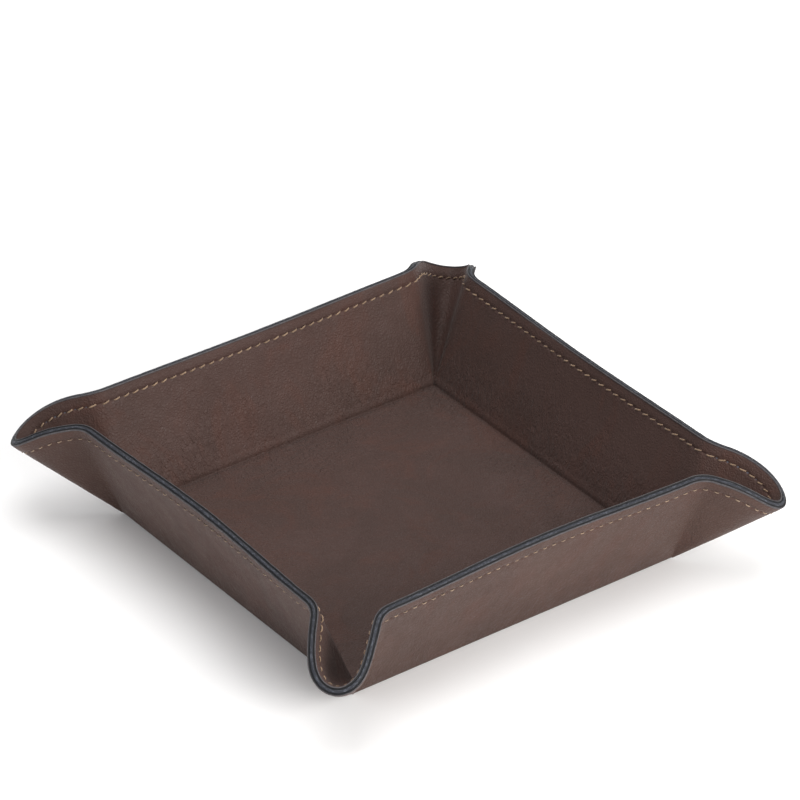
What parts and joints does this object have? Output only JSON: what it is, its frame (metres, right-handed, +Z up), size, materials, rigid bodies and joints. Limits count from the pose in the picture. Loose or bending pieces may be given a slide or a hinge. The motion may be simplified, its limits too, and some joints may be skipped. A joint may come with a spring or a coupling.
{
  "type": "valet tray",
  "caption": "Square leather valet tray folded from one stitched sheet, with sloping walls and a soft spout at every corner.",
  "frame": {"origin": "centre of the flat underside", "axes": "+Z up, square to the table; the four walls face +X, +Y, -X and -Y, and the picture looks from the -X -Y side"},
  "size_m": [0.2346, 0.2346, 0.0518],
  "materials": {
    "outer_leather": "semi-matt, fine grain",
    "lining_leather": "semi-matt, fine grain with reddish clouding",
    "board": "compressed fibre board, matt",
    "core_felt": "soft fibre sheet, matt",
    "edge_paint": "flexible edge paint, satin",
    "thread": "waxed sewing thread"
  },
  "bodies": {
    "root": {"outer_cover": "outer_leather", "lining": "lining_leather", "base_board": "board", "wall_board_front": "board", "wall_board_right": "board", "wall_board_back": "board", "wall_board_left": "board", "corner_core_front_right": "core_felt", "corner_core_back_right": "core_felt", "corner_core_back_left": "core_felt", "corner_core_front_left": "core_felt", "painted_edge": "edge_paint", "inner_thread": "thread", "outer_thread": "thread"}
  },
  "joints": []
}
